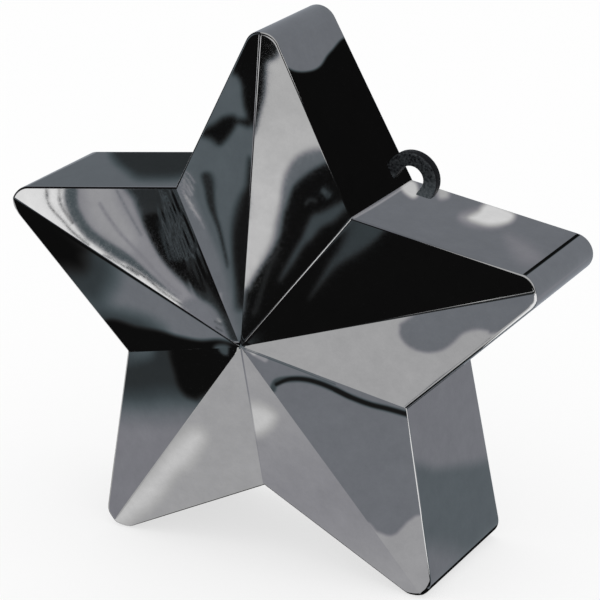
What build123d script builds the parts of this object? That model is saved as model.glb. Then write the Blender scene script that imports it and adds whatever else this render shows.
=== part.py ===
from build123d import *
import math
import os

os.makedirs("parts", exist_ok=True)

# A faceted star that stands on its two lower points. Sizes are in millimetres, angles in degrees.
# The front faces -Y, +Z is up and the origin is on the ground below the middle of the star.

# Star outline, seen from the front
point_count = 5
star_tip_radius = 50.6  # star centre to the sharp corner that a point would have
star_valley_radius = 25.6  # star centre to the corner between two points
tip_round = 3.0  # rounding at the end of each point

# Depth of the star and its front facets
wall_depth = 21.9  # front rim to back face, level with the star centre
back_lean = 5.0  # the back face leans forward, so the star is deepest at its feet
apex_rise = 7.0  # height of the sharp crown of facets over the front rim
apex_flat_radius = 1.4  # centre to corner of the small blunt star at the crown
front_edge_round = 0.5

# Moulded shell
shell_wall = 2.0
inner_round_least = 0.4
rim_lip = 1.0  # part of the wall left standing round the back cover

# Back cover, which sits flush in the shell and is located by pegs in five bosses
cover_thickness = 2.0
cover_clearance = 0.15
cover_edge_chamfer = 0.3
boss_circle_radius = 30.0  # star centre to each boss
boss_diameter = 6.0
boss_seat_gap = 0.2  # between the end of a boss and the cover
peg_diameter = 3.0
peg_clearance = 0.05
peg_length = 6.0
peg_chamfer = 0.5
bore_spare_depth = 1.0  # bore left beyond the end of a peg

# Tie ring: an arch on two legs, which pass through holes in a valley of the shell into the ballast
ring_valley = 1  # valleys counted clockwise from the top point
ring_inner_radius = 2.0
ring_band = 2.25
ring_thickness = 2.0
ring_set_in = 2.9  # back face to the rear of the ring
ring_stand_off = 2.8  # valley corner to the middle of the ring's round end
ring_aside = 0.5  # middle of the ring from the middle of the valley, towards the right-hand point
ring_leg_depth = 8.0  # valley corner to the ends of the legs
ring_edge_round = 0.4
ring_clearance = 0.1

# Cast ballast, which shrinks a little from the shell as it sets
cast_gap = 0.1

# Cuts run past the faces that they open
overrun = 2.0

# Places that follow from the sizes above
step_angle = 180 / point_count
tip_half_angle = math.degrees(
    math.atan2(
        star_valley_radius * math.sin(math.radians(step_angle)),
        star_tip_radius - star_valley_radius * math.cos(math.radians(step_angle)),
    )
)
side_distance = star_tip_radius * math.sin(math.radians(tip_half_angle))
facet_slope = math.degrees(math.atan2(apex_rise, side_distance))
lean_rate = math.tan(math.radians(back_lean))

# Outward normal of the facet to the right of the top ridge
facet_normal = (
    math.sin(math.radians(facet_slope)) * math.cos(math.radians(tip_half_angle)),
    -math.cos(math.radians(facet_slope)),
    math.sin(math.radians(facet_slope)) * math.sin(math.radians(tip_half_angle)),
)

# The ends of the two lower points touch the ground
foot_angle = 90 - step_angle * (point_count - 1)
round_centre_radius = star_tip_radius - tip_round / math.sin(math.radians(tip_half_angle))
centre_height = tip_round - round_centre_radius * math.sin(math.radians(foot_angle))

# The star is centred in depth between its crown and the back of its feet
crown_height = apex_rise * (1 - apex_flat_radius / star_tip_radius)
foot_depth = wall_depth + lean_rate * centre_height
rim_y = (crown_height - foot_depth) / 2
deepest = wall_depth + lean_rate * star_tip_radius + overrun

# Height of a ridge over the rim where the rounded end of a point cuts it off
tip_rise = apex_rise * (star_tip_radius - round_centre_radius - tip_round) / star_tip_radius

forward = (0, -1, 0)
backward = (0, 1, 0)
rim_plane = Plane(origin=(0, rim_y, centre_height), x_dir=(1, 0, 0), z_dir=forward)
back_normal = (0, math.cos(math.radians(back_lean)), math.sin(math.radians(back_lean)))
back_plane = Plane(origin=(0, rim_y + wall_depth, centre_height), x_dir=(1, 0, 0), z_dir=back_normal)
ledge_plane = back_plane.offset(-cover_thickness)
boss_end_plane = ledge_plane.offset(-boss_seat_gap)
fill_plane = ledge_plane.offset(-cast_gap)
ring_rear_plane = back_plane.offset(-ring_set_in)
ring_front_plane = ring_rear_plane.offset(-ring_thickness)
past_back_plane = back_plane.offset(overrun)

# The tie ring points straight out of its valley
ring_angle = 90 - step_angle * (2 * ring_valley - 1)


def polar(reach, angle):
    """Point in the star's plane at a distance and angle from its centre."""
    return (reach * math.cos(math.radians(angle)), reach * math.sin(math.radians(angle)))


def star_corners(scale):
    """Tips and valleys in turn, starting from the top point."""
    reaches = [star_tip_radius, star_valley_radius] * point_count
    return [polar(scale * reach, 90 - i * step_angle) for i, reach in enumerate(reaches)]


def round_star(inset):
    """Face of the star with rounded tips and every side moved in by the inset."""
    scale = (side_distance - inset) / side_distance
    with BuildSketch(rim_plane) as star:
        with BuildLine():
            Polyline(*star_corners(scale), close=True)
        make_face()
        tips = star.vertices().group_by(SortBy.DISTANCE)[-1]
        fillet(tips, radius=max(tip_round - inset, inner_round_least))
    return star.sketch


def half_point(inset):
    """Half of the top point, from its ridge to the valley beside it, running on past the back."""
    scale = (side_distance - inset) / side_distance
    setback = inset / math.cos(math.radians(facet_slope)) - inset * apex_rise / side_distance
    base_plane = rim_plane.offset(-setback)
    facet_plane = Plane(origin=base_plane.offset(scale * apex_rise).origin, z_dir=facet_normal)
    with BuildPart() as half:
        with BuildSketch(base_plane):
            with BuildLine():
                Polyline((0, 0), *star_corners(scale)[:2], close=True)
            make_face()
        extrude(amount=deepest, both=True)
        split(bisect_by=facet_plane, keep=Keep.BOTTOM)
        split(bisect_by=base_plane.offset(scale * crown_height), keep=Keep.BOTTOM)
    return half.part


def faceted_star(inset):
    """Solid star with its sides and facets all moved in by the inset, running on past the back."""
    half = half_point(inset)
    halves = [half, half.mirror(Plane.YZ)]
    axis = Axis(rim_plane.origin, forward)
    with BuildPart() as star:
        for i in range(point_count):
            add([piece.rotate(axis, 2 * step_angle * i) for piece in halves])
        extrude(round_star(inset), amount=deepest, both=True, mode=Mode.INTERSECT)
    return star.part


def star_plate(inset, front, rear):
    """Flat star between two leaning planes, with every side moved in by the inset."""
    with BuildPart() as plate:
        extrude(round_star(inset), amount=deepest, dir=backward)
        split(bisect_by=front, keep=Keep.TOP)
        split(bisect_by=rear, keep=Keep.BOTTOM)
    return plate.part


def boss_sections(radius):
    """A circle in each point of the star, where the bosses stand."""
    with BuildSketch(rim_plane) as sections:
        with PolarLocations(boss_circle_radius, point_count, start_angle=90):
            Circle(radius)
    return sections.sketch


def boss_seat(index):
    """Point where the axis of a boss meets the underside of the cover."""
    x, rise = polar(boss_circle_radius, 90 - 2 * index * step_angle)
    height = centre_height + rise
    depth = ledge_plane.origin.Y - lean_rate * (height - ledge_plane.origin.Z)
    return (x, depth, height)


def ring_staple(grow):
    """Arch on two straight legs, thickened by a clearance all round."""
    leg_length = ring_stand_off + ring_leg_depth + grow
    outer_radius = ring_inner_radius + ring_band + grow
    inner_radius = ring_inner_radius - grow
    inwards = (Align.MAX, Align.CENTER)
    with BuildPart() as staple:
        with BuildSketch(ring_plane):
            with Locations((ring_stand_off, -ring_aside)):
                Circle(outer_radius)
                Rectangle(leg_length, 2 * outer_radius, align=inwards)
                Circle(inner_radius, mode=Mode.SUBTRACT)
                Rectangle(leg_length, 2 * inner_radius, align=inwards, mode=Mode.SUBTRACT)
        extrude(amount=deepest, dir=backward)
        split(bisect_by=ring_front_plane.offset(-grow), keep=Keep.TOP)
        split(bisect_by=ring_rear_plane.offset(grow), keep=Keep.BOTTOM)
    return staple.part


ring_corner = polar(star_valley_radius, ring_angle)
ring_out = polar(1, ring_angle)
ring_plane = Plane(
    origin=(ring_corner[0], rim_y, centre_height + ring_corner[1]),
    x_dir=(ring_out[0], 0, ring_out[1]),
    z_dir=forward,
)

# Spaces that the pieces share: the seat of the cover and the holes and pockets for the tie ring's legs
cover_seat = star_plate(rim_lip, ledge_plane, past_back_plane)
ring_space = ring_staple(ring_clearance)

# Star shell: faceted front, straight walls, five bosses, a stepped rim and two holes for the ring
with BuildPart() as boss_columns:
    extrude(boss_sections(boss_diameter / 2), amount=deepest, both=True)
    add(faceted_star(shell_wall / 2), mode=Mode.INTERSECT)
    split(bisect_by=boss_end_plane, keep=Keep.BOTTOM)

with BuildPart() as star_shell:
    add(faceted_star(0))
    front_rim = star_shell.edges().filter_by_position(
        Axis.Y, rim_y - tip_rise - front_edge_round, rim_y + front_edge_round
    )
    fillet(front_rim, radius=front_edge_round)
    split(bisect_by=back_plane, keep=Keep.BOTTOM)
    add(faceted_star(shell_wall), mode=Mode.SUBTRACT)
    add(boss_columns.part)
    for i in range(point_count):
        with BuildSketch(Plane(origin=boss_seat(i), x_dir=(1, 0, 0), z_dir=forward)):
            Circle(peg_diameter / 2 + peg_clearance)
        extrude(amount=peg_length + bore_spare_depth, mode=Mode.SUBTRACT)
    add(cover_seat, mode=Mode.SUBTRACT)
    add(ring_space, mode=Mode.SUBTRACT)
star_shell.part.label = "star_shell"
export_step(star_shell.part, "parts/star_shell.step")

# Back cover: a flat plate flush with the rim, with a peg for each boss
with BuildPart() as back_cover:
    add(star_plate(rim_lip + cover_clearance, ledge_plane, back_plane))
    chamfer(back_cover.faces().sort_by(Axis.Y)[-1].edges(), cover_edge_chamfer)
    for i in range(point_count):
        seat = Plane(origin=boss_seat(i), x_dir=(1, 0, 0), z_dir=forward)
        with BuildSketch(seat.offset(peg_length)):
            Circle(peg_diameter / 2)
        extrude(amount=peg_length + cover_thickness / 2, dir=backward)
        chamfer(back_cover.edges(Select.LAST).group_by(Axis.Y)[0], peg_chamfer)
back_cover.part.label = "back_cover"
export_step(back_cover.part, "parts/back_cover.step")

# Tie ring: its legs are pushed in from outside before the ballast is cast round them
with BuildPart() as ribbon_ring:
    add(ring_staple(0))
    fillet(ribbon_ring.faces().sort_by(Axis.Y)[0].edges(), radius=ring_edge_round)
    fillet(ribbon_ring.faces().sort_by(Axis.Y)[-1].edges(), radius=ring_edge_round)
ribbon_ring.part.label = "ribbon_ring"
export_step(ribbon_ring.part, "parts/ribbon_ring.step")

# Ballast: cast in the shell round the bosses and the legs of the tie ring
with BuildPart() as ballast_block:
    add(faceted_star(shell_wall + cast_gap))
    split(bisect_by=fill_plane, keep=Keep.BOTTOM)
    extrude(boss_sections(boss_diameter / 2 + cast_gap), amount=deepest, both=True, mode=Mode.SUBTRACT)
    add(ring_space, mode=Mode.SUBTRACT)
ballast_block.part.label = "ballast_block"
export_step(ballast_block.part, "parts/ballast_block.step")
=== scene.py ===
import math

import bmesh
import bpy
import numpy as np
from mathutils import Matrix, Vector


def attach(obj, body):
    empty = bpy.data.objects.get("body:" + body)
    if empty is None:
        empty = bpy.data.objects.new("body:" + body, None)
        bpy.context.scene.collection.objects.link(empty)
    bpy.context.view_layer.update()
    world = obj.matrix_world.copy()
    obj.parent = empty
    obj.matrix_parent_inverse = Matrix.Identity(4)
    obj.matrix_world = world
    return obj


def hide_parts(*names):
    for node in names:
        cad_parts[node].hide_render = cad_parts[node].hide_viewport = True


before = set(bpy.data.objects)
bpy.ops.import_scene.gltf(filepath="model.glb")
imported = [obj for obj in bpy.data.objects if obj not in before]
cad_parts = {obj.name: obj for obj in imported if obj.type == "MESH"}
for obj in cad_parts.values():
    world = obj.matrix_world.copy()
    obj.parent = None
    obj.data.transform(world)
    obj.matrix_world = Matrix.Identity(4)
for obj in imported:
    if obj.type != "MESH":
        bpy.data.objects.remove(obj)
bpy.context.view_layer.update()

# A faceted star that stands on its two lower points, plated like a dark mirror.
# Sizes are in millimetres and angles in degrees, in the frame of the solids: the front faces -Y,
# +Z is up and the origin is on the ground below the middle of the star.
millimetre = 0.001

# Star
point_count = 5
star_tip_radius = 50.6
star_valley_radius = 25.6
tip_round = 3.0
wall_depth = 21.9
back_lean = 5.0
apex_rise = 7.0
apex_flat_radius = 1.4
shell_wall = 2.0
inner_round_least = 0.4
rim_lip = 1.0
cover_thickness = 2.0

# Soft edges of the moulded shell, wider where they face down and widest at the feet. The shares say how
# far an edge faces down where the extra width starts and where it is full.
front_edge_reach = 0.2
lower_edge_extra = 0.25
lower_start_share = 0.2
lower_full_share = 0.8
foot_edge_extra = 0.7
foot_start_share = 0.2
foot_full_share = 0.7
foot_soft_length = 1.5
rear_edge_reach = 0.12
valley_fillet = 0.07
crown_dome = 0.1

# Tie ring
ring_valley = 1
ring_inner_radius = 2.0
ring_band = 2.25
ring_thickness = 2.0
ring_set_in = 2.9
ring_stand_off = 2.8
ring_aside = 0.5
ring_leg_depth = 8.0
ring_corner_round = 0.4

# Fineness of the meshes
tip_columns = 8
ridge_turn = math.radians(5)
side_columns = 110
valley_gather = 1.4
crown_rows = 6
facet_rows = 72
facet_ease_share = 0.5
edge_rows = 5
wall_rows = 18
wall_ease_share = 1
rear_edge_rows = 3
inner_rows = 8
ring_bend_steps = 48
ring_leg_steps = 24
ring_corner_steps = 5

# Camera, fitted to the edges of the star
camera_azimuth = 28.28
camera_elevation = 20.78
camera_distance = 401.9
camera_aside = 6.33
camera_above_centre = 6.28
camera_lens = 160.97
sensor_width = 36.0
camera_clip_start = 10.0

# Places that follow from the sizes above
step_angle = math.radians(180 / point_count)
tip_half_angle = math.atan2(
    star_valley_radius * math.sin(step_angle),
    star_tip_radius - star_valley_radius * math.cos(step_angle),
)
side_distance = star_tip_radius * math.sin(tip_half_angle)
facet_slope = math.atan2(apex_rise, side_distance)
valley_slope = apex_rise / side_distance * math.cos(step_angle + tip_half_angle)
lean_rate = math.tan(math.radians(back_lean))
round_centre_radius = star_tip_radius - tip_round / math.sin(tip_half_angle)
foot_angle = math.pi / 2 - step_angle * (point_count - 1)
centre_height = tip_round - round_centre_radius * math.sin(foot_angle)
crown_height = apex_rise * (1 - apex_flat_radius / star_tip_radius)
rim_y = (crown_height - wall_depth - lean_rate * centre_height) / 2
cover_depth = cover_thickness / math.cos(math.radians(back_lean))


def back_y(z):
    """Depth of the leaning back face at a height."""
    return rim_y + wall_depth - lean_rate * (z - centre_height)


def facet_y(flat):
    """Depth of the front at places in the star's plane, measured from its centre.

    The upper right valley, where the ring stands, is softly filled."""
    turn = np.arctan2(flat[:, 0], flat[:, 1])
    off_ridge = np.abs((turn + step_angle) % (2 * step_angle) - step_angle)
    reach = np.hypot(flat[:, 0], flat[:, 1]) * np.sin(off_ridge + tip_half_angle)
    off_valley = np.hypot(flat[:, 0], flat[:, 1]) * np.sin(step_angle - off_ridge)
    filled = valley_slope * (np.hypot(off_valley, valley_fillet) - off_valley)
    filled *= np.abs(turn - step_angle) < step_angle
    return np.maximum(rim_y - apex_rise * (1 - reach / side_distance) - filled, rim_y - crown_height)


def smooth(low, high, value):
    """0 at low, 1 at high, with a soft step between."""
    share = np.clip((value - low) / (high - low), 0, 1)
    return share * share * (3 - 2 * share)


# Outlines of the star
def half_outline(inset):
    """From the ridge of a point to the valley beside it: places along and across the point, and normals.

    Columns come closer together towards the valley."""
    rounding = max(tip_round - inset, inner_round_least)
    scale = (side_distance - inset) / side_distance
    centre = scale * star_tip_radius - rounding / math.sin(tip_half_angle)
    turns = np.linspace(0, math.pi / 2 - tip_half_angle, tip_columns)
    turns = np.concatenate([turns[:1], [ridge_turn], turns[1:]])
    arc_normals = np.stack([np.cos(turns), np.sin(turns)], 1)
    arc = rounding * arc_normals + [centre, 0]
    valley_way = np.array([math.cos(step_angle), math.sin(step_angle)])
    valley = scale * star_valley_radius * valley_way
    shares = 1 - (1 - np.linspace(0, 1, side_columns + 1)[1:]) ** valley_gather
    side = arc[-1] + shares[:, None] * (valley - arc[-1])
    side_normals = np.tile([math.sin(tip_half_angle), math.cos(tip_half_angle)], (side_columns, 1))
    side_normals[-1] = valley_way / math.sin(tip_half_angle + step_angle)
    return np.concatenate([arc, side]), np.concatenate([arc_normals, side_normals])


def point_axes(point, side):
    """Ways along a point of the star and across it to one side."""
    angle = math.pi / 2 - 2 * step_angle * point
    return np.array([[math.cos(angle), math.sin(angle)], [side * math.sin(angle), -side * math.cos(angle)]])


def whole_outline(inset):
    """The half outline carried round the star, clockwise from the top ridge: places and normals."""
    places, normals = half_outline(inset)
    spots, ways = [], []
    for point in range(point_count):
        for turn, side, picked in ((point, 1, slice(None, -1)), (point + 1, -1, slice(None, 0, -1))):
            spots.append(places[picked] @ point_axes(turn, side))
            ways.append(normals[picked] @ point_axes(turn, side))
    return np.concatenate(spots), np.concatenate(ways)


def placed(flat, y):
    """Points of the star's plane, measured from its centre, set at a depth."""
    return np.stack([flat[:, 0], np.broadcast_to(y, len(flat)), flat[:, 1] + centre_height], 1)


def bent(start, corner, end, steps):
    """Rows of a soft edge from start to end that turns at a corner. The start itself is left out."""
    rows = []
    for share in np.linspace(0, 1, steps + 1)[1:]:
        rows.append((1 - share) ** 2 * start + 2 * share * (1 - share) * corner + share**2 * end)
    return rows


def eased(steps, ease):
    """Shares from 0 to 1 that come closer together towards both ends."""
    even = np.linspace(0, 1, steps + 1)
    return (1 - ease) * even + ease * (0.5 - 0.5 * np.cos(math.pi * even))


# Unevenness of the moulded and plated skin
draw_seed = 11
draws = np.random.default_rng(draw_seed)


def drawn_waves(count, shortest, longest, way=0.0, spread=math.pi):
    """Waves of drawn length, phase and direction, within a spread to both sides of one way."""
    return [
        (draws.uniform(shortest, longest), way + draws.uniform(-spread, spread), draws.uniform(0, math.tau))
        for _ in range(count)
    ]


def summed(waves, height, across, up):
    """Height of a sum of waves over a face."""
    total = np.zeros_like(across)
    for length, way, phase in waves:
        total += np.sin(math.tau * (across * math.cos(way) + up * math.sin(way)) / length + phase)
    return height * total


swell_waves = drawn_waves(count=9, shortest=11, longest=30)
swell_height = 0.003
wall_swell_share = 0.25
crumple_waves = drawn_waves(count=7, shortest=1.6, longest=4.0)
crumple_height = 0.005
crumple_reach = 6.0
ripple_waves = drawn_waves(count=4, shortest=0.9, longest=2.1, spread=math.radians(7))
ripple_height = 0.0009
ripple_reach = 5.5
crease_waves = drawn_waves(
    count=4, shortest=0.8, longest=1.3, way=math.radians(62), spread=math.radians(10)
)
crease_height = 0.0008
crease_reach = 4.0
pucker_start_share = 0.3
pucker_full_share = 0.8
pucker_valley_gap = 0.6
pucker_fade_share = 0.4


def swell(across, up):
    """Slow, shallow waves over a face."""
    return summed(swell_waves, swell_height, across, up)


def puckers(flat):
    """Small folds of the skin: at the top tip, and on both sides of the upper left valley."""
    tip_gap = np.hypot(flat[:, 0], flat[:, 1] - star_tip_radius)
    at_tip = 1 - smooth(0, crumple_reach, tip_gap)
    folds = summed(crumple_waves, crumple_height, flat[:, 0], flat[:, 1]) * at_tip
    reach = np.hypot(flat[:, 0], flat[:, 1])
    turn = np.arctan2(-flat[:, 0], flat[:, 1])
    off_valley = reach * np.sin(turn - step_angle)
    outer = smooth(pucker_start_share, pucker_full_share, reach / star_valley_radius)
    outer *= np.abs(turn) < math.pi / 2
    for gap, waves, height, width in (
        (off_valley, ripple_waves, ripple_height, ripple_reach),
        (-off_valley, crease_waves, crease_height, crease_reach),
    ):
        beside = smooth(0, pucker_valley_gap, gap) * (1 - smooth(pucker_fade_share * width, width, gap))
        folds += outer * beside * summed(waves, height, gap, reach)
    return folds


def mesh_object(name, rows, creases=()):
    """A skin over rows of points that each run round once. Its ends fan in to the middle of their row.

    Creases are columns along which it is shaded as a crisp edge."""
    work = bmesh.new()
    rings = [[work.verts.new(point * millimetre) for point in row] for row in rows]
    for one, other in zip(rings, rings[1:]):
        for k in range(len(one)):
            work.faces.new((one[k - 1], one[k], other[k], other[k - 1]))
    for ring, row in ((rings[0], rows[0]), (rings[-1], rows[-1])):
        middle = work.verts.new(row.mean(0) * millimetre)
        for k in range(len(ring)):
            work.faces.new((ring[k - 1], ring[k], middle))
    bmesh.ops.recalc_face_normals(work, faces=work.faces)
    for face in work.faces:
        face.smooth = True
    for one, other in zip(rings, rings[1:]):
        for k in creases:
            work.edges.get((one[k], other[k])).smooth = False
    mesh = bpy.data.meshes.new(name)
    work.to_mesh(mesh)
    work.free()
    made = bpy.data.objects.new(name, mesh)
    bpy.context.scene.collection.objects.link(made)
    return made


# Star shell
def star_skin():
    """The whole moulded shell: crown, facets, walls, rear rim and the hollow inside."""
    edge, ways = whole_outline(0)
    downward = -ways[:, 1]
    edge_reach = front_edge_reach + lower_edge_extra * smooth(lower_start_share, lower_full_share, downward)
    past_tip = np.hypot(edge[:, 0], edge[:, 1]) - round_centre_radius - tip_round
    at_tip = smooth(-foot_soft_length, 0, past_tip)
    edge_reach += foot_edge_extra * at_tip * smooth(foot_start_share, foot_full_share, downward)
    inner_edge = edge - edge_reach[:, None] * ways
    flat_share = apex_flat_radius / star_tip_radius
    rows = []
    crown_shares = flat_share * np.linspace(0, 1, crown_rows + 1)[1:-1]
    facet_shares = flat_share + (1 - flat_share) * eased(facet_rows, facet_ease_share)
    for share in np.concatenate([crown_shares, facet_shares]):
        flat = share * inner_edge
        dome = crown_dome * max(0, 1 - (share / flat_share) ** 2)
        rows.append(placed(flat, facet_y(flat) - dome - swell(flat[:, 0], flat[:, 1]) - puckers(flat)))

    sharp_y = facet_y(edge) - swell(edge[:, 0], edge[:, 1]) - puckers(edge)
    wall_top = placed(edge, sharp_y + edge_reach)
    rows += bent(rows[-1], placed(edge, sharp_y), wall_top, edge_rows)

    rear_y = back_y(edge[:, 1] + centre_height)
    wall_foot = placed(edge, rear_y - rear_edge_reach)
    around = np.arctan2(edge[:, 1], edge[:, 0]) * star_valley_radius
    for share in eased(wall_rows, wall_ease_share)[1:]:
        row = (1 - share) * wall_top + share * wall_foot
        bulge = wall_swell_share * swell(around, row[:, 1]) * math.sin(math.pi * share)
        row[:, 0] += bulge * ways[:, 0]
        row[:, 2] += bulge * ways[:, 1]
        rows.append(row)

    rear_edge = edge - rear_edge_reach * ways
    rear = placed(rear_edge, back_y(rear_edge[:, 1] + centre_height))
    rows += bent(wall_foot, placed(edge, rear_y), rear, rear_edge_rows)

    lip, _ = whole_outline(rim_lip)
    lip_y = back_y(lip[:, 1] + centre_height)
    rows += [placed(lip, lip_y), placed(lip, lip_y - cover_depth)]
    hollow, _ = whole_outline(shell_wall)
    rows.append(placed(hollow, back_y(hollow[:, 1] + centre_height) - cover_depth))
    setback = shell_wall / math.cos(facet_slope)
    for share in np.linspace(1, flat_share, inner_rows):
        rows.append(placed(share * hollow, facet_y(share * hollow) + setback))
    half_columns = tip_columns + side_columns
    crisp = [valley for valley in range(1, point_count + 1) if valley != ring_valley]
    return mesh_object("star_skin", rows, [(2 * valley - 1) * half_columns for valley in crisp])


# Tie ring
def ring_path():
    """Stations of the ring's middle line: distance out of the valley, distance aside, and outward turn."""
    radius = ring_inner_radius + ring_band / 2
    legs = np.linspace(-ring_leg_depth, ring_stand_off, ring_leg_steps, endpoint=False)
    stations = [(out, radius, math.pi / 2) for out in legs]
    for turn in np.linspace(math.pi / 2, -math.pi / 2, ring_bend_steps + 1):
        stations.append((ring_stand_off + radius * math.cos(turn), radius * math.sin(turn), turn))
    return stations + [(out, -radius, -math.pi / 2) for out in legs[::-1]]


def ring_section():
    """Rounded section of the ring: places across the band and through its thickness."""
    half_band = ring_band / 2 - ring_corner_round
    half_depth = ring_thickness / 2 - ring_corner_round
    places = []
    for quarter, (side, rear) in enumerate(((1, 1), (-1, 1), (-1, -1), (1, -1))):
        for turn in np.linspace(0, math.pi / 2, ring_corner_steps + 1) + quarter * math.pi / 2:
            across = side * half_band + ring_corner_round * math.cos(turn)
            depth = rear * half_depth + ring_corner_round * math.sin(turn)
            places.append((across, depth))
    return places


def ring_skin():
    """An arch on two legs that run into the walls of a valley."""
    angle = math.pi / 2 - step_angle * (2 * ring_valley - 1)
    out_way = np.array([math.cos(angle), math.sin(angle)])
    aside_way = np.array([-out_way[1], out_way[0]])
    rows = []
    for out, aside, turn in ring_path():
        row = []
        for across, depth in ring_section():
            reach = star_valley_radius + out + across * math.cos(turn)
            flat = reach * out_way + (aside - ring_aside + across * math.sin(turn)) * aside_way
            z = flat[1] + centre_height
            row.append((flat[0], back_y(z) - ring_set_in - ring_thickness / 2 + depth, z))
        rows.append(np.array(row))
    return mesh_object("ring_skin", rows)


# Materials. Noise hardly leaves the span between its low and its high value.
noise_low = 0.3
noise_high = 0.7
ring_pale_start = 62.0
ring_pale_full = 59.0


def new_material(name):
    """A node material, its nodes, its main shader and the piece's own coordinates in metres."""
    material = bpy.data.materials.new(name)
    material.use_nodes = True
    tree = material.node_tree
    shader = tree.nodes["Principled BSDF"]
    place = tree.nodes.new("ShaderNodeTexCoord")
    return material, tree, shader, place.outputs["Object"]


def noise(tree, place, size, detail):
    """Noise whose patches are about size millimetres across."""
    made = tree.nodes.new("ShaderNodeTexNoise")
    made.inputs["Scale"].default_value = 1 / (size * millimetre)
    made.inputs["Detail"].default_value = detail
    tree.links.new(place, made.inputs["Vector"])
    return made.outputs["Fac"]


def ranged(tree, value, low, high):
    """A value in the span of noise, spread between two numbers."""
    made = tree.nodes.new("ShaderNodeMapRange")
    made.inputs["From Min"].default_value = noise_low
    made.inputs["From Max"].default_value = noise_high
    made.inputs["To Min"].default_value = low
    made.inputs["To Max"].default_value = high
    tree.links.new(value, made.inputs["Value"])
    return made.outputs["Result"]


def coloured(tree, value, low, high):
    """A noise value spread between two colours."""
    made = tree.nodes.new("ShaderNodeValToRGB")
    made.color_ramp.elements[0].position = noise_low
    made.color_ramp.elements[0].color = (*low, 1)
    made.color_ramp.elements[1].position = noise_high
    made.color_ramp.elements[1].color = (*high, 1)
    tree.links.new(value, made.inputs["Fac"])
    return made.outputs["Color"]


def roughened(tree, shader, value, height):
    """Bump of a height in millimetres."""
    made = tree.nodes.new("ShaderNodeBump")
    made.inputs["Strength"].default_value = 1.0
    made.inputs["Distance"].default_value = height * millimetre
    tree.links.new(value, made.inputs["Height"])
    tree.links.new(made.outputs["Normal"], shader.inputs["Normal"])


def plated_material():
    """Dark mirror plating over moulded plastic, with a faint grain and cloudy handling marks."""
    material, tree, shader, place = new_material("plated_shell")
    shader.inputs["Metallic"].default_value = 1.0
    cloud = noise(tree, place, size=4, detail=6)
    cloud.node.inputs["Roughness"].default_value = 0.8
    clouded = coloured(tree, cloud, low=(0.338, 0.338, 0.339), high=(0.392, 0.391, 0.391))
    tree.links.new(clouded, shader.inputs["Base Color"])
    grain = noise(tree, place, size=0.5, detail=2)
    tree.links.new(ranged(tree, grain, low=0.02, high=0.04), shader.inputs["Roughness"])
    return material


def ring_material():
    """Black moulded plastic, speckled on its front and back, and paler there at its low foot."""
    material, tree, shader, place = new_material("ring_plastic")
    spot = tree.nodes.new("ShaderNodeSeparateXYZ")
    tree.links.new(place, spot.inputs["Vector"])
    lowness = tree.nodes.new("ShaderNodeMapRange")
    lowness.inputs["From Min"].default_value = ring_pale_start * millimetre
    lowness.inputs["From Max"].default_value = ring_pale_full * millimetre
    tree.links.new(spot.outputs["Z"], lowness.inputs["Value"])
    speckle = noise(tree, place, size=0.35, detail=4)
    facing = tree.nodes.new("ShaderNodeTexCoord")
    parts = tree.nodes.new("ShaderNodeSeparateXYZ")
    tree.links.new(facing.outputs["Normal"], parts.inputs["Vector"])
    flatness = tree.nodes.new("ShaderNodeMath")
    flatness.operation = "ABSOLUTE"
    tree.links.new(parts.outputs["Y"], flatness.inputs[0])
    front = ranged(tree, flatness.outputs[0], low=0, high=1)
    colour = tree.nodes.new("ShaderNodeMix")
    colour.data_type = "RGBA"
    colour.inputs["A"].default_value = (0.005, 0.005, 0.006, 1)
    tree.links.new(front, colour.inputs["Factor"])
    flats = tree.nodes.new("ShaderNodeMix")
    flats.data_type = "RGBA"
    tree.links.new(lowness.outputs["Result"], flats.inputs["Factor"])
    dark = coloured(tree, speckle, low=(0.003, 0.003, 0.004), high=(0.06, 0.066, 0.071))
    pale = coloured(tree, speckle, low=(0.07, 0.084, 0.092), high=(0.16, 0.178, 0.19))
    tree.links.new(dark, flats.inputs["A"])
    tree.links.new(pale, flats.inputs["B"])
    tree.links.new(flats.outputs["Result"], colour.inputs["B"])
    tree.links.new(colour.outputs["Result"], shader.inputs["Base Color"])
    tree.links.new(ranged(tree, speckle, low=0.2, high=0.5), shader.inputs["Roughness"])
    shader.inputs["Specular IOR Level"].default_value = 0.05
    roughened(tree, shader, speckle, height=0.06)
    return material


def cover_material():
    """Black moulded plastic with a fine matt texture."""
    material, tree, shader, place = new_material("cover_plastic")
    cloud = noise(tree, place, size=9, detail=3)
    clouded = coloured(tree, cloud, low=(0.018, 0.018, 0.019), high=(0.03, 0.03, 0.032))
    tree.links.new(clouded, shader.inputs["Base Color"])
    grain = noise(tree, place, size=0.35, detail=3)
    tree.links.new(ranged(tree, grain, low=0.42, high=0.6), shader.inputs["Roughness"])
    roughened(tree, shader, grain, height=0.05)
    return material


def ballast_material():
    """Grey cast cement with darker grains."""
    material, tree, shader, place = new_material("cast_ballast")
    grains = noise(tree, place, size=1.5, detail=6)
    speckled = coloured(tree, grains, low=(0.33, 0.32, 0.3), high=(0.6, 0.59, 0.56))
    tree.links.new(speckled, shader.inputs["Base Color"])
    shader.inputs["Roughness"].default_value = 0.9
    roughened(tree, shader, grains, height=0.3)
    return material


def dress(piece, material):
    """Gives a piece one material."""
    piece.data.materials.clear()
    piece.data.materials.append(material)


shell = star_skin()
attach(shell, "root")
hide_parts("star_shell")
dress(shell, plated_material())

ring = ring_skin()
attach(ring, "root")
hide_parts("ribbon_ring")
dress(ring, ring_material())

# The plate doesn't mirror the ring or the star's other faces
ring.visible_glossy = False
shell.visible_glossy = False

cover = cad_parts["back_cover"]
dress(cover, cover_material())

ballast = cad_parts["ballast_block"]
dress(ballast, ballast_material())

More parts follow.
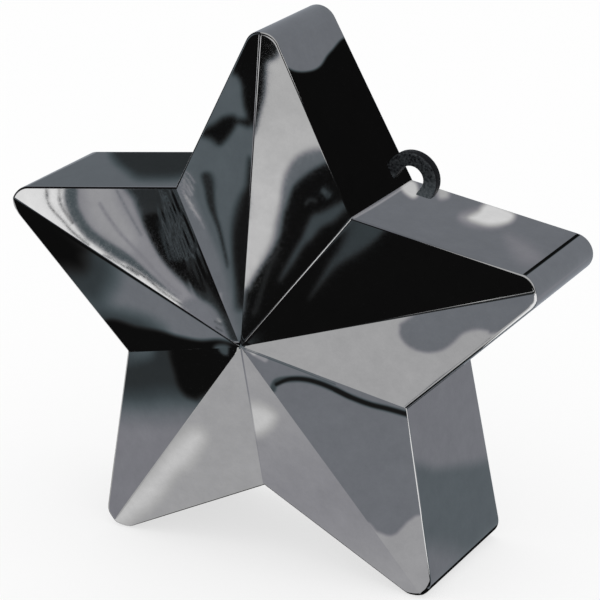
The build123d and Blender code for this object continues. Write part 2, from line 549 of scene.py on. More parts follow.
# Camera
azimuth = math.radians(camera_azimuth)
elevation = math.radians(camera_elevation)
camera_back = np.array(
    [
        math.sin(azimuth) * math.cos(elevation),
        -math.cos(azimuth) * math.cos(elevation),
        math.sin(elevation),
    ]
)
camera_right = np.array([math.cos(azimuth), math.sin(azimuth), 0.0])
camera_up = np.cross(camera_back, camera_right)
camera_target = np.array([camera_aside, rim_y, centre_height + camera_above_centre])
camera_place = camera_target + camera_distance * camera_back
camera_data = bpy.data.cameras.new("camera")
camera_data.lens = camera_lens
camera_data.sensor_width = sensor_width
camera_data.clip_start = camera_clip_start * millimetre
camera = bpy.data.objects.new("camera", camera_data)
camera.location = Vector(camera_place * millimetre)
camera.rotation_euler = Vector(-camera_back).to_track_quat("-Z", "Y").to_euler()
bpy.context.scene.collection.objects.link(camera)
bpy.context.scene.camera = camera

# Floor, light and world
bpy.context.scene.view_settings.view_transform = "Standard"
floor_half = 3000.0
floor_drop = 0.03
floor_grey_share = 0.98
floor_white_share = 0.68
world_level = 0.92
seen_world_level = 1.0


def plainly_seen(tree):
    """1 for what the camera sees, straight, in a mirror or through a clear piece, and 0 for soft light."""
    rays = tree.nodes.new("ShaderNodeLightPath")
    seen = rays.outputs["Is Camera Ray"]
    for kind in ("Is Glossy Ray", "Is Transmission Ray"):
        either = tree.nodes.new("ShaderNodeMath")
        either.operation = "MAXIMUM"
        tree.links.new(seen, either.inputs[0])
        tree.links.new(rays.outputs[kind], either.inputs[1])
        seen = either.outputs[0]
    return seen


floor_corners = floor_half * np.array([(-1, -1), (1, -1), (1, 1), (-1, 1)])
floor_mesh = bpy.data.meshes.new("floor")
floor_mesh.from_pydata(
    [(x * millimetre, y * millimetre, -floor_drop * millimetre) for x, y in floor_corners], [], [(0, 1, 2, 3)]
)
floor = bpy.data.objects.new("floor", floor_mesh)
bpy.context.scene.collection.objects.link(floor)
floor_material, floor_tree, floor_shader, _ = new_material("floor")
floor_shader.inputs["Base Color"].default_value = (floor_grey_share, floor_grey_share, floor_grey_share, 1)
floor_shader.inputs["Roughness"].default_value = 1.0
floor_shader.inputs["Specular IOR Level"].default_value = 0.0

# Seen plainly, the floor glows in part, so that it is nearly white and still takes a soft shadow
floor_glow = floor_tree.nodes.new("ShaderNodeEmission")
floor_part = floor_tree.nodes.new("ShaderNodeMath")
floor_part.operation = "MULTIPLY"
floor_part.inputs[1].default_value = floor_white_share
floor_mix = floor_tree.nodes.new("ShaderNodeMixShader")
floor_tree.links.new(plainly_seen(floor_tree), floor_part.inputs[0])
floor_tree.links.new(floor_part.outputs[0], floor_mix.inputs[0])
floor_tree.links.new(floor_shader.outputs[0], floor_mix.inputs[1])
floor_tree.links.new(floor_glow.outputs[0], floor_mix.inputs[2])
floor_tree.links.new(floor_mix.outputs[0], floor_tree.nodes["Material Output"].inputs["Surface"])
dress(floor, floor_material)

# The world is white where it is seen plainly and a little dimmer as soft light
world = bpy.data.worlds.new("studio")
bpy.context.scene.world = world
world.use_nodes = True
sky = world.node_tree.nodes["Background"]
sky.inputs["Color"].default_value = (1, 1, 1, 1)
level = world.node_tree.nodes.new("ShaderNodeMapRange")
level.inputs["To Min"].default_value = world_level
level.inputs["To Max"].default_value = seen_world_level
world.node_tree.links.new(plainly_seen(world.node_tree), level.inputs["Value"])
world.node_tree.links.new(level.outputs["Result"], sky.inputs["Strength"])


def lamp(name, place, size, power):
    """A square soft box that looks at the middle of the star and doesn't show in the plating."""
    data = bpy.data.lights.new(name, "AREA")
    data.shape = "SQUARE"
    data.size = size * millimetre
    data.energy = power
    made = bpy.data.objects.new(name, data)
    made.location = Vector(np.array(place) * millimetre)
    aim = Vector((0, 0, centre_height * millimetre)) - made.location
    made.rotation_euler = aim.to_track_quat("-Z", "Y").to_euler()
    made.visible_glossy = False
    bpy.context.scene.collection.objects.link(made)


lamp("key_light", place=(-700, -800, 1300), size=1200, power=2.0)
lamp("fill_light", place=(900, -300, 1200), size=1200, power=1.3)

# Painted reflections: the plate is a mirror, and what it shows is glowing cards round it, which are no lamps
# and show in the plate alone. Their greys are painted reflections, drawn for each face as the camera sees it,
# with painted highlights, painted shade and dark sheets where the plate is to look black. Greys run from 0,
# black, to 255, white, as the plate shows them. Marks on a card are drawn in shares of the face that mirrors
# it, from -1 to 1 across and up as the camera sees the face. Their widths and soft edges are shares of half
# the longer side of the face as it is seen.
white = 255
plate_share = 0.365
card_steps = 240
card_margin_share = 1.3
patch_margin_share = 0.15
near_margin_share = 0.05
near_distance = 0.25
least_drop_share = 0.05
curve_steps = 8
least_run = 1e-9
streak_soft_share = 0.5
glance_power = 5

# Dark and middling greys of the painted reflections are a little blue: greys where the tint starts and is
# full, and where it fades
tint_greys = (15, 60)
red_loss_share = 0.11
red_fade_greys = (70, 125)
blue_gain_share = 0.05
blue_fade_greys = (110, 170)


def through(points, closed):
    """Places close together on a smooth line through a few points."""
    if closed:
        padded = np.concatenate([points[-1:], points, points[:2]])
    else:
        padded = np.concatenate([points[:1], points, points[-1:]])
    shares = np.linspace(0, 1, curve_steps, endpoint=False)[:, None]
    spans = []
    for a, b, c, d in zip(padded, padded[1:], padded[2:], padded[3:]):
        bend = 2 * a - 5 * b + 4 * c - d + shares * (3 * (b - c) + d - a)
        spans.append(b + shares / 2 * (c - a + shares * bend))
    return np.concatenate(spans + [padded[-2:-1]])


def gap_to(line, across, up):
    """Distance from a line of places."""
    nearest = np.full(across.shape, np.inf)
    for (x, y), (run, rise) in zip(line, np.diff(line, axis=0)):
        share = ((across - x) * run + (up - y) * rise) / max(run * run + rise * rise, least_run)
        share = np.clip(share, 0, 1)
        nearest = np.minimum(nearest, np.hypot(across - x - share * run, up - y - share * rise))
    return nearest


def enclosed(loop, across, up):
    """Whether places lie inside a closed line."""
    inside = np.zeros(across.shape, bool)
    for (x0, y0), (x1, y1) in zip(loop, loop[1:]):
        if y0 != y1:
            crossing = (up < y0) != (up < y1)
            inside ^= crossing & (across < x0 + (up - y0) * (x1 - x0) / (y1 - y0))
    return inside


def blot(grey, soft, *points):
    """A patch with a smooth outline through the points."""

    def laid(across, up, stretch):
        loop = through(np.array(points) * stretch, True)
        gap = gap_to(loop, across, up)
        return smooth(-soft, soft, np.where(enclosed(loop, across, up), gap, -gap)), grey

    return laid


def streak(grey, half_width, *points):
    """A stripe along a smooth line through the points."""

    def laid(across, up, stretch):
        gap = gap_to(through(np.array(points) * stretch, False), across, up)
        soft = streak_soft_share * half_width
        return 1 - smooth(half_width - soft, half_width + soft, gap), grey

    return laid


def above(grey, height, soft):
    """All that lies above a height."""

    def laid(across, up, stretch):
        return smooth(height - soft, height + soft, up / stretch[1]), grey

    return laid


def linear(signal):
    """Light of a screen value from 0 to 1."""
    return np.where(signal < 0.04045, signal / 12.92, ((signal + 0.055) / 1.055) ** 2.4)


def toned(across, up, stretch, glance, grey, marks):
    """Light of a card that the plate shows as its grey, with the marks laid over it in turn.

    The glance is 1 where the face is seen square on and 0 where it is seen along."""
    greys = np.full(across.shape, float(grey))
    for mark in marks:
        cover, tone = mark(across * stretch[0], up * stretch[1], stretch)
        greys += cover * (tone - greys)
    tinted = smooth(*tint_greys, greys)
    less_red = red_loss_share * tinted * (1 - smooth(*red_fade_greys, greys))
    more_blue = blue_gain_share * tinted * (1 - smooth(*blue_fade_greys, greys))
    signal = np.stack([greys * (1 - less_red), greys, greys * (1 + more_blue)], -1) / white
    sent_back = plate_share + (1 - plate_share) * (1 - glance) ** glance_power
    return linear(signal) / sent_back


def glow_material():
    """Light as painted on a card."""
    material = bpy.data.materials.new("card")
    material.use_nodes = True
    tree = material.node_tree
    tree.nodes.remove(tree.nodes["Principled BSDF"])
    painted = tree.nodes.new("ShaderNodeAttribute")
    painted.attribute_name = "light"
    glow = tree.nodes.new("ShaderNodeEmission")
    tree.links.new(painted.outputs["Color"], glow.inputs["Color"])
    tree.links.new(glow.outputs["Emission"], tree.nodes["Material Output"].inputs["Surface"])
    return material


card_material = glow_material()


def card(name, places, light):
    """A glowing sheet over a grid of places, seen in the plate alone, that carries a painted reflection."""
    across, along = places.shape[:2]
    index = np.arange(across * along).reshape(across, along)
    faces = np.stack([index[:-1, :-1], index[1:, :-1], index[1:, 1:], index[:-1, 1:]], -1).reshape(-1, 4)
    mesh = bpy.data.meshes.new(name)
    mesh.from_pydata((places.reshape(-1, 3) * millimetre).tolist(), [], faces.tolist())
    painted = mesh.attributes.new("light", "FLOAT_COLOR", "POINT")
    solid = np.concatenate([light.reshape(-1, 3), np.ones((across * along, 1))], 1)
    painted.data.foreach_set("color", solid.astype(np.float32).ravel())
    mesh.materials.append(card_material)
    made = bpy.data.objects.new(name, mesh)
    bpy.context.scene.collection.objects.link(made)
    made.visible_camera = False
    made.visible_diffuse = False
    made.visible_shadow = False
    made.visible_transmission = False
    made.visible_volume_scatter = False


def face_corners(point, side, is_wall):
    """Four corners and the normal of a facet, or of the wall behind it, to one side of a point's ridge."""
    places, _ = half_outline(0)
    axes = point_axes(point, side)
    out = np.array([math.sin(tip_half_angle), math.cos(tip_half_angle)]) @ axes
    picked = places[[0, tip_columns, -1]] @ axes
    front = placed(picked, facet_y(picked))
    if is_wall:
        rear = placed(picked, back_y(front[:, 2]))
        return np.stack([front[1], front[2], rear[2], rear[1]]), np.array([out[0], 0, out[1]])
    apex = np.array([0, rim_y - apex_rise, centre_height])
    forward = math.cos(facet_slope)
    outward = math.sin(facet_slope)
    return np.stack([apex, *front]), np.array([outward * out[0], -forward, outward * out[1]])


def sighted(places):
    """Where the camera sees places, as slopes aside and up from the middle of its view."""
    sight = places - camera_place
    return np.stack([sight @ camera_right, sight @ camera_up], -1) / -(sight @ camera_back)[..., None]


def seen_box(corners):
    """Middle and half size of the box in which the camera sees a face."""
    slopes = sighted(corners)
    return (slopes.max(0) + slopes.min(0)) / 2, (slopes.max(0) - slopes.min(0)) / 2


def mirrored(places, normal):
    """Ways in which a face sends the camera's lines of sight on."""
    sight = places - camera_place
    sight /= np.linalg.norm(sight, axis=-1)[..., None]
    return sight - 2 * np.multiply.outer(sight @ normal, normal)


def facing_card(name, face, *marks, distance, grey):
    """A glowing card at a distance from a face, turned so that the face mirrors it undistorted: a painted
    reflection for that face.
    """
    corners, normal = face_corners(*face)
    middle, half = seen_box(corners)
    ray = middle[0] * camera_right + middle[1] * camera_up - camera_back
    reach = ((corners[0] - camera_place) @ normal) / (ray @ normal)
    mirror = np.eye(3) - 2 * np.outer(normal, normal)
    centre = camera_place + reach * ray + distance * (mirror @ ray)
    spread = (reach + distance) * half
    steps = np.linspace(-card_margin_share, card_margin_share, card_steps)
    across, up = np.meshgrid(steps, steps, indexing="ij")
    places = centre + np.multiply.outer(across * spread[0], mirror @ camera_right)
    places += np.multiply.outer(up * spread[1], mirror @ camera_up)
    glance = abs(ray @ normal) / np.linalg.norm(ray)
    card(name, places, toned(across, up, half / half.max(), glance, grey, marks))


def face_view(face, margin, ridge_margin, grey, marks):
    """Places over a face and its margin, the mirrored lines of sight, and the light of a card there."""
    corners, normal = face_corners(*face)
    middle, half = seen_box(corners)
    steps = np.linspace(-margin, 1 + margin, card_steps)
    along, aside = np.meshgrid(steps, steps, indexing="ij")
    aside = aside - ridge_margin * along * (1 - aside)
    shares = [(1 - along) * (1 - aside), along * (1 - aside), along * aside, (1 - along) * aside]
    places = np.stack(shares, -1) @ corners
    ways = mirrored(places, normal)
    spots = (sighted(places) - middle) / half
    glance = np.abs(ways @ normal).mean()
    light = toned(spots[..., 0], spots[..., 1], half / half.max(), glance, grey, marks)
    return places, ways, light


def near_card(name, face, *marks, grey):
    """A glowing card close before a face, where one further out would cut across its neighbours: a painted
    reflection that lies on the face almost as if painted on it.
    """
    places, ways, light = face_view(face, 0, near_margin_share, grey, marks)
    card(name, places + near_distance * ways, light)


def lying_card(name, face, *marks, lift, grey):
    """A glowing card just above the table, cut to what one face mirrors there: a painted reflection for that
    face.
    """
    places, ways, light = face_view(face, patch_margin_share, 0, grey, marks)
    lengths = (lift - places[..., 2]) / np.minimum(ways[..., 2], -least_drop_share)
    card(name, places + np.maximum(lengths, 0)[..., None] * ways, light)


def floor_card(name, left_x, right_x, front_y, rear_y, lift, grey):
    """A plain glowing card on the table, seen only in the plate: a painted reflection of one grey."""
    x, y = np.meshgrid((left_x, right_x), (front_y, rear_y), indexing="ij")
    card(name, np.stack([x, y, np.full(x.shape, lift)], -1), toned(x, y, np.ones(2), 1.0, grey, ()))


# Faces by their point, the side of its ridge, and whether the facet or the wall behind it is meant
top, right, lower_right, lower_left, left = range(point_count)
clockwise, counter = 1, -1
facet, wall = False, True

# Painted reflections, face by face: each card carries the painted highlights, painted shade and black that
# one face is to show.
facing_card(
    "card_top_right", (top, clockwise, facet),
    above(170, 0.25, 0.35),
    blot(100, 0.02, (-0.62, 0.62), (-0.62, 0.46), (-0.66, 0.38), (-0.77, 0.33), (-1.1, 0.4), (-1.1, 0.7)),
    blot(
        13, 0.025,
        (-0.4, 1.2), (-0.3, 0.88), (-0.45, 0.81), (-0.47, 0.73), (-0.5, 0.6), (-0.6, 0.47), (-0.73, 0.35),
        (-1.1, 0.28), (-1.3, 1.0),
    ),
    blot(
        98, 0.03,
        (0.8, 0.24), (0.38, 0.26), (0.05, 0.23), (-0.12, 0.15), (-0.21, 0.08), (-0.34, -0.08),
        (-0.48, -0.23), (-0.54, -0.36), (-0.63, -0.47), (-0.84, -0.61), (-0.97, -0.74), (-0.9, -1.3),
        (1.3, -1.3), (1.3, 0.1),
    ),
    blot(
        13, 0.025,
        (0.8, 0.2), (0.45, 0.16), (0.18, 0.11), (0.02, 0.06), (-0.09, -0.01), (-0.18, -0.08), (-0.3, -0.17),
        (-0.39, -0.3), (-0.48, -0.39), (-0.63, -0.49), (-0.8, -0.61), (-0.93, -0.74), (-0.8, -1.3),
        (1.3, -1.3), (1.3, 0.1),
    ),
    blot(
        66, 0.03,
        (0.95, -0.06), (0.59, -0.11), (0.38, -0.14), (0.23, -0.22), (0.05, -0.33), (-0.16, -0.44),
        (-0.32, -0.57), (-0.12, -0.49), (0.09, -0.39), (0.32, -0.32), (0.55, -0.23), (0.85, -0.16),
    ),
    blot(
        13, 0.012,
        (-0.74, 1.3), (-0.72, 0.9), (-0.86, 0.2), (-0.95, -0.4), (-1.04, -1.0), (-1.06, -1.3), (-1.6, -1.3),
        (-1.6, 1.3),
    ),
    streak(42, 0.012, (0.25, -0.06), (0.33, -0.03), (0.45, -0.04)),
    streak(75, 0.01, (0.55, 0.02), (0.66, -0.02)),
    streak(34, 0.012, (-0.42, -0.4), (-0.6, -0.6), (-0.78, -0.8)),
    distance=160, grey=184,
)

# Short painted highlights down the left edge of the top point, for the glints of its small folds
fold_glint_grey_range = (125, 160)
fold_drop_range = (0.07, 0.1)
fold_run_share = 0.22
fold_sag_share = 0.35
fold_half_share = 0.005
fold_start_shares = (
    (-0.73, 0.12), (-0.78, 0.09), (-0.83, 0.06), (-0.88, 0.03), (-0.92, 0.0), (-0.84, -0.05), (-0.78, -0.09),
    (-0.7, -0.13), (-0.62, -0.17),
)
painted_fold_glints = []
for across, up in fold_start_shares:
    grey = draws.uniform(*fold_glint_grey_range)
    drop = draws.uniform(*fold_drop_range)
    middle = (across + fold_run_share / 2, up - fold_sag_share * drop)
    end = (across + fold_run_share, up - drop)
    painted_fold_glints.append(streak(grey, fold_half_share, (across, up), middle, end))
facing_card(
    "card_top_left", (top, counter, facet),
    blot(
        13, 0.03,
        (1.3, 1.2), (0.5, 1.05), (0.3, 0.76), (0.42, 0.72), (0.56, 0.67), (0.62, 0.56), (0.72, 0.48),
        (0.85, 0.42), (1.3, 0.4),
    ),
    blot(
        14, 0.03,
        (-0.45, 0.36), (-0.14, 0.42), (0.07, 0.46), (0.33, 0.47), (0.49, 0.45), (0.8, 0.44), (0.8, 0.4),
        (0.49, 0.42), (0.35, 0.38), (0.19, 0.33), (-0.02, 0.28), (-0.21, 0.32),
    ),
    streak(104, 0.07, (-0.9, 0.0), (-0.6, -0.25), (-0.2, -0.5), (0.1, -0.72), (0.35, -0.9)),
    blot(
        34, 0.02,
        (-0.33, 0.1), (-0.26, 0.0), (-0.23, -0.07), (-0.16, -0.14), (-0.04, -0.22), (0.05, -0.31),
        (0.19, -0.49), (0.24, -0.46), (0.17, -0.33), (0.1, -0.23), (0.03, -0.16), (-0.02, -0.07),
        (-0.07, 0.05), (-0.18, 0.11),
    ),
    *painted_fold_glints,
    streak(130, 0.01, (0.05, -0.66), (0.2, -0.79), (0.35, -0.9), (0.44, -0.98)),
    blot(
        20, 0.035,
        (0.8, 0.2), (0.62, 0.02), (0.47, -0.08), (0.42, -0.27), (0.4, -0.46), (0.42, -0.6), (0.5, -0.75),
        (0.7, -0.7), (0.9, -0.2),
    ),
    distance=120, grey=88,
)

# Thin painted highlights beside the upper left valley, for the glints of its ripples
line_count = 5
line_start_shares = (0.29, 0.47)
line_grey_range = (60, 100)
line_bend_range = (0.02, 0.06)
line_half_share = 0.006
line_up_shares = (1.1, 0.7, 0.45, 0.1)
line_upper_aside_share = 0.02
line_foot_aside_share = 0.13
painted_ripple_glints = []
for across in np.linspace(*line_start_shares, line_count):
    grey = draws.uniform(*line_grey_range)
    line_bend = draws.uniform(*line_bend_range)
    asides = (0, line_upper_aside_share, line_bend, line_foot_aside_share)
    places = [(across + aside, up) for aside, up in zip(asides, line_up_shares)]
    painted_ripple_glints.append(streak(grey, line_half_share, *places))
facing_card(
    "card_left_upper", (left, clockwise, facet),
    blot(145, 0.08, (-0.4, 1.2), (-0.1, 1.2), (-0.06, 0.8), (0.1, 0.4), (0.0, 0.2), (-0.3, 0.5)),
    streak(122, 0.018, (-0.24, 0.78), (-0.06, 0.4), (0.2, 0.06), (0.46, -0.31)),
    streak(108, 0.012, (-0.06, 1.0), (0.04, 0.7), (0.16, 0.4)),
    blot(
        218, 0.012,
        (-1.2, 0.6), (-1.2, 1.2), (-0.58, 1.2), (-0.57, 0.9), (-0.53, 0.7), (-0.45, 0.51), (-0.35, 0.35),
        (-0.28, 0.27), (-0.12, 0.09), (0.05, -0.03), (0.2, -0.15), (0.35, -0.29), (0.52, -0.47),
        (0.4, -0.65), (0.1, -0.4), (-0.3, 0.0),
    ),
    blot(
        78, 0.02,
        (-0.56, 1.2), (-0.57, 0.92), (-0.53, 0.72), (-0.45, 0.53), (-0.35, 0.36), (-0.28, 0.28),
        (-0.12, 0.1), (0.05, -0.02), (0.2, -0.14), (0.35, -0.28), (0.5, -0.45), (0.42, -0.33),
        (0.26, -0.13), (0.05, 0.09), (-0.15, 0.27), (-0.3, 0.44), (-0.4, 0.63), (-0.46, 0.82), (-0.48, 1.2),
    ),
    streak(
        24, 0.007,
        (-0.69, 1.1), (-0.68, 0.84), (-0.63, 0.7), (-0.54, 0.55), (-0.48, 0.45), (-0.32, 0.26),
    ),
    streak(24, 0.007, (-0.6, 1.1), (-0.6, 0.87), (-0.56, 0.72), (-0.48, 0.55)),
    streak(30, 0.007, (0.0, -0.02), (0.2, -0.17), (0.33, -0.31), (0.47, -0.46)),
    streak(60, 0.006, (-0.2, 0.13), (0.0, -0.04), (0.1, -0.12)),
    blot(
        42, 0.04,
        (0.03, 1.2), (0.1, 0.84), (0.18, 0.57), (0.27, 0.34), (0.39, 0.06), (0.5, -0.16), (0.62, -0.35),
        (0.75, -0.47), (0.87, -0.66), (1.0, -1.0), (1.3, -0.6), (1.0, 1.2),
    ),
    blot(
        13, 0.025,
        (0.18, 0.62), (0.33, 0.62), (0.4, 0.34), (0.52, 0.06), (0.68, -0.28), (0.48, -0.1), (0.31, 0.21),
    ),
    blot(
        13, 0.025,
        (0.44, 0.9), (0.7, 0.9), (1.0, -0.3), (0.95, -0.6), (0.74, -0.29), (0.62, -0.01), (0.53, 0.28),
        (0.46, 0.53),
    ),
    blot(
        110, 0.03,
        (0.56, -0.35), (0.77, -0.47), (0.88, -0.67), (1.0, -1.0), (0.9, -1.1), (0.64, -0.7), (0.45, -0.5),
    ),
    *painted_ripple_glints,
    streak(50, 0.006, (0.79, -0.64), (0.87, -0.69)),
    streak(165, 0.005, (0.82, -0.61), (0.86, -0.65)),
    streak(50, 0.006, (0.8, -0.72), (0.88, -0.77)),
    distance=150, grey=132,
)
facing_card(
    "card_right_upper", (right, counter, facet),
    blot(
        58, 0.025,
        (-0.2, 1.2), (-0.02, 0.95), (-0.08, 0.7), (-0.18, 0.48), (-0.28, 0.28), (-0.37, 0.08),
        (-0.5, -0.25), (-0.41, 0.1), (-0.34, 0.32), (-0.28, 0.5), (-0.23, 0.75),
    ),
    blot(85, 0.03, (-1.0, -0.85), (-0.93, -0.8), (-0.9, -0.93), (-1.0, -1.0)),
    distance=250, grey=13,
)
near_card(
    "card_top_wall", (top, clockwise, wall),
    blot(
        107, 0.02,
        (-1.3, 0.57), (-1.03, 0.55), (-0.75, 0.46), (-0.52, 0.46), (-0.37, 0.51), (-0.27, 0.61),
        (-0.18, 0.68), (-0.08, 0.76), (0.01, 0.81), (0.1, 0.89), (0.4, 1.3), (-1.3, 1.3),
    ),
    grey=12,
)
near_card(
    "card_right_wall", (right, counter, wall),
    blot(120, 0.08, (0.36, -0.16), (0.58, -0.37), (0.71, -0.73), (0.49, -0.73)),
    blot(150, 0.06, (-0.04, 0.22), (0.1, 0.36), (0.24, 0.4), (0.36, 0.3), (0.3, 0.04), (0.08, 0.06)),
    blot(
        206, 0.04,
        (0.04, 0.21), (0.12, 0.33), (0.16, 0.46), (0.22, 0.52), (0.4, 0.36), (0.44, 0.23), (0.38, 0.1),
        (0.22, 0.05), (0.1, 0.12),
    ),
    streak(138, 0.01, (-0.99, 0.2), (-0.77, 0.5), (-0.54, 0.85)),
    blot(
        188, 0.025,
        (-0.55, 0.76), (-0.56, 0.88), (-0.5, 1.0), (-0.43, 0.92), (-0.42, 0.68), (-0.47, 0.62),
    ),
    blot(165, 0.035, (-0.24, 0.86), (-0.15, 0.82), (-0.15, 0.64), (-0.23, 0.62)),
    grey=107,
)
facing_card(
    "card_left_wall", (left, clockwise, wall),
    blot(44, 0.07, (-0.14, 1.3), (1.2, 1.3), (0.8, 0.3), (0.5, -0.4), (0.22, -0.55), (-0.02, -0.3)),
    distance=150, grey=98,
)

near_card(
    "card_left_lower", (left, counter, facet),
    blot(55, 0.16, (-0.8, 1.0), (-0.2, 0.35), (-0.1, 0.1), (-0.15, -0.2), (-0.35, -0.4), (-1.1, 0.3)),
    blot(12, 0.12, (-1.1, 1.1), (-0.7, 0.85), (-0.38, 0.42), (-0.36, 0.25), (-0.44, 0.05), (-1.1, 0.3)),
    blot(46, 0.12, (-0.3, -0.5), (-0.05, -0.5), (0.2, -0.62), (0.3, -0.8), (-0.2, -0.9)),
    blot(
        13, 0.03,
        (-0.2, -0.62), (0.1, -0.68), (0.3, -0.73), (0.46, -0.8), (0.64, -0.85), (0.85, -0.85), (1.1, -1.0),
        (1.0, -1.3), (-0.2, -1.3),
    ),
    streak(12, 0.012, (-0.98, 0.95), (0.0, 0.02), (0.99, -0.92)),
    blot(76, 0.03, (0.77, -0.94), (0.83, -0.9), (0.9, -0.93), (0.91, -1.05), (0.79, -1.05)),
    grey=106,
)
lying_card(
    "card_lower_left_left", (lower_left, clockwise, facet),
    above(104, 0.12, 0.12), above(70, 0.32, 0.14), above(46, 0.48, 0.14),
    blot(80, 0.1, (-0.9, 1.1), (-0.3, 1.1), (-0.4, 0.88), (-0.7, 0.84)),
    blot(
        13, 0.06,
        (0.1, 1.1), (1.2, 1.1), (0.7, 0.6), (0.42, 0.42), (0.32, 0.4), (0.15, 0.46), (0.06, 0.65),
    ),
    blot(72, 0.025, (0.64, 1.05), (0.66, 0.94), (0.75, 0.9), (0.84, 0.92), (0.85, 1.05)),
    lift=0.2, grey=119,
)
lying_card(
    "card_lower_left_right", (lower_left, counter, facet),
    blot(
        190, 0.12,
        (-1.1, -1.1), (-0.65, -0.86), (-0.41, -0.68), (-0.18, -0.42), (0.01, -0.29), (0.14, -0.13),
        (0.2, 0.0), (0.1, 0.06), (-0.1, 0.0), (-0.5, -0.4), (-1.1, -0.95),
    ),
    lift=0.4, grey=153,
)
near_card(
    "card_lower_right_left", (lower_right, clockwise, facet),
    above(132, -0.6, 0.3),
    above(150, 0.3, 0.5),
    blot(
        190, 0.07,
        (-1.0, 0.54), (-0.85, 0.54), (-0.72, 0.51), (-0.62, 0.45), (-0.66, 0.37), (-0.8, 0.3), (-1.0, 0.31),
    ),
    streak(108, 0.007, (-1.0, 1.0), (-0.76, -0.08)),
    grey=146,
)
near_card(
    "card_lower_right_right", (lower_right, counter, facet),
    streak(
        66, 0.025,
        (-0.66, 0.66), (-0.62, 0.72), (-0.49, 0.74), (-0.33, 0.74), (-0.17, 0.71), (-0.01, 0.66),
        (0.15, 0.6), (0.36, 0.54), (0.57, 0.5), (0.8, 0.45),
    ),
    streak(
        22, 0.016,
        (-0.62, 0.7), (-0.49, 0.74), (-0.33, 0.74), (-0.17, 0.71), (-0.01, 0.66), (0.15, 0.6),
    ),
    streak(22, 0.017, (0.0, 0.655), (0.15, 0.6), (0.36, 0.54), (0.57, 0.5), (0.8, 0.45)),
    streak(138, 0.022, (-0.86, 0.95), (-0.74, 0.9)),
    streak(176, 0.018, (-0.93, 0.985), (-0.85, 0.95)),
    streak(84, 0.005, (-0.97, 0.985), (0.0, 0.7)),
    blot(
        150, 0.02,
        (0.3, -0.46), (0.44, -0.48), (0.55, -0.51), (0.63, -0.5), (0.7, -0.45), (0.78, -0.39), (0.9, -0.35),
        (1.2, -0.4), (1.2, -1.2), (0.2, -1.2),
    ),
    grey=108,
)
lying_card(
    "card_right_lower", (right, clockwise, facet),
    blot(
        106, 0.02,
        (0.12, 0.55), (0.08, 0.4), (0.08, 0.24), (0.12, 0.1), (0.19, 0.0), (0.28, -0.03), (0.37, 0.03),
        (0.44, 0.15), (0.5, 0.29), (0.59, 0.34), (0.67, 0.32), (0.74, 0.29), (1.2, 0.6), (1.2, 1.3),
        (0.4, 0.9),
    ),
    streak(14, 0.012, (0.136, -0.957), (0.346, -0.534), (0.556, -0.115), (0.696, 0.163)),
    lift=0.3, grey=157,
)
lying_card(
    "card_lower_right_wall", (lower_right, counter, wall),
    blot(
        92, 0.08,
        (-1.2, -0.04), (-0.3, 0.01), (0.4, 0.05), (1.2, 0.06), (1.3, -0.6), (0.0, -1.2), (-1.2, -1.2),
    ),
    blot(108, 0.15, (-0.8, -0.75), (-0.2, -0.7), (0.3, -0.85), (-0.2, -1.15), (-0.8, -1.15)),
    lift=0.2, grey=114,
)
lying_card("card_right_lower_wall", (right, clockwise, wall), lift=0.3, grey=12)

# Plain glowing cards on the table, seen only in the plate: painted reflections, black ones as painted shade
# under the star and at the front left, and a near-white one on the right as a painted highlight
floor_card("card_front_left", left_x=-520, right_x=-30, front_y=-520, rear_y=-95, lift=0.1, grey=14)
floor_card("card_front", left_x=-30, right_x=160, front_y=-1500, rear_y=-64, lift=0.08, grey=40)
floor_card("card_behind", left_x=-300, right_x=400, front_y=30, rear_y=480, lift=0.1, grey=106)
floor_card("card_right", left_x=46, right_x=240, front_y=-90, rear_y=0, lift=0.1, grey=225)
floor_card("card_before_crown", left_x=-80, right_x=-18, front_y=-140, rear_y=-78, lift=0.15, grey=88)
# Painted shade of the star on the table, as the plate mirrors it
floor_card("card_under", left_x=-60, right_x=31, front_y=-9, rear_y=30, lift=0.12, grey=12)
floor_card("card_beside_foot", left_x=31, right_x=90, front_y=-9, rear_y=30, lift=0.12, grey=84)
floor_card("card_under_right", left_x=2, right_x=46, front_y=-35, rear_y=-9, lift=0.12, grey=12)

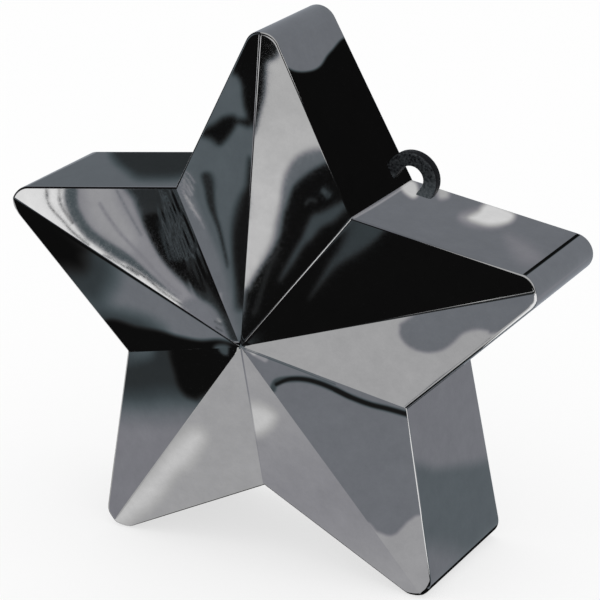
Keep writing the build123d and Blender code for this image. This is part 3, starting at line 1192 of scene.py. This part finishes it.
# A glowing sheet round the studio, no lamp, seen only in the plate: a painted reflection of a dark cloth,
# taller on the left, grey and taller behind, with patches of painted highlight and painted shade in other
# greys.
# Directions on it are in degrees, anticlockwise from +X as seen from above.
cloth_radius = 520
cloth_top = 330
cloth_rise_left = 600
cloth_rise_behind = 260
cloth_dark_grey = 16
cloth_rear_grey = 106
cloth_left_shares = (0.2, 0.6)
cloth_rear_shares = (0.5, 0.7)
cloth_highest = cloth_top + cloth_rise_left + cloth_rise_behind
cloth_columns = 241
cloth_rows = 40
patch_edge = 15
patch_core_share = 0.6

cloth_turns, cloth_shares = np.meshgrid(
    np.linspace(0, math.tau, cloth_columns), np.linspace(0, 1, cloth_rows), indexing="ij"
)
leftward = smooth(*cloth_left_shares, -np.cos(cloth_turns))
rearward = smooth(*cloth_rear_shares, np.sin(cloth_turns))
cloth_heights = cloth_shares * (cloth_top + cloth_rise_left * leftward + cloth_rise_behind * rearward)


def rear_cloth(across, up, stretch):
    """The painted grey of the sheet behind the star, where it shows as a grey cloth."""
    return rearward, cloth_rear_grey


def painted_reflection_patch(grey, direction, half_width, low=0, high=cloth_highest):
    """A patch of painted reflection round one direction and between two heights. Without them it runs from
    foot to top.
    """

    def laid(across, up, stretch):
        off = np.abs((np.degrees(across) - direction + 180) % 360 - 180)
        cover = 1 - smooth(patch_core_share * half_width, half_width, off)
        cover *= smooth(low - patch_edge, low, up)
        return cover * (1 - smooth(high, high + patch_edge, up)), grey

    return laid


# Painted reflections on the sheet: painted highlights at -18 and -97 degrees, a painted mid grey at 160 and a
# black patch high up at 95
cloth_marks = (
    rear_cloth,
    painted_reflection_patch(212, direction=-18, half_width=22),
    painted_reflection_patch(110, direction=160, half_width=9),
    painted_reflection_patch(215, direction=-97, half_width=7, low=58, high=110),
    painted_reflection_patch(12, direction=95, half_width=6, low=300, high=358),
)
card(
    "card_cloth",
    np.stack([cloth_radius * np.cos(cloth_turns), cloth_radius * np.sin(cloth_turns), cloth_heights], -1),
    toned(cloth_turns, cloth_heights, np.ones(2), 1.0, cloth_dark_grey, cloth_marks),
)
